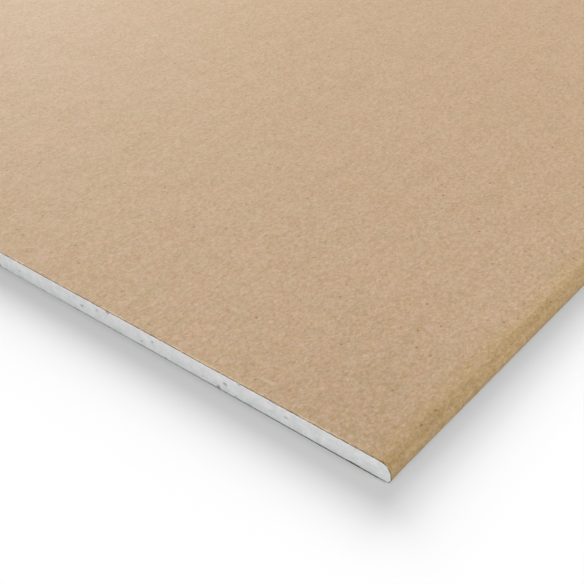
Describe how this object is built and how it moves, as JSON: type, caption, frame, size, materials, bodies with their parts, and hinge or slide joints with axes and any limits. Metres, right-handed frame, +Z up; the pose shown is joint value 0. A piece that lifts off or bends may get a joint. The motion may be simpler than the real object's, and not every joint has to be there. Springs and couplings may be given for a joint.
{
  "type": "drywall sheet",
  "caption": "Flat drywall sheet with a white gypsum core, a brown face paper wrapped round its half-round long edges and a grey back paper, for lining walls and ceilings.",
  "frame": {"origin": "middle of the underside, on the floor that the sheet lies on", "axes": "+X across the width, +Y along the length and the long edges, +Z up through the thickness, brown face up"},
  "size_m": [1.25, 2, 0.0125],
  "materials": {
    "gypsum": "chalky, matt, sawn",
    "brown_paper": "matt kraft-brown liner paper",
    "grey_paper": "matt grey recycled liner paper"
  },
  "bodies": {
    "root": {"gypsum_core": "gypsum", "face_paper": "brown_paper", "back_paper": "grey_paper"}
  },
  "joints": []
}
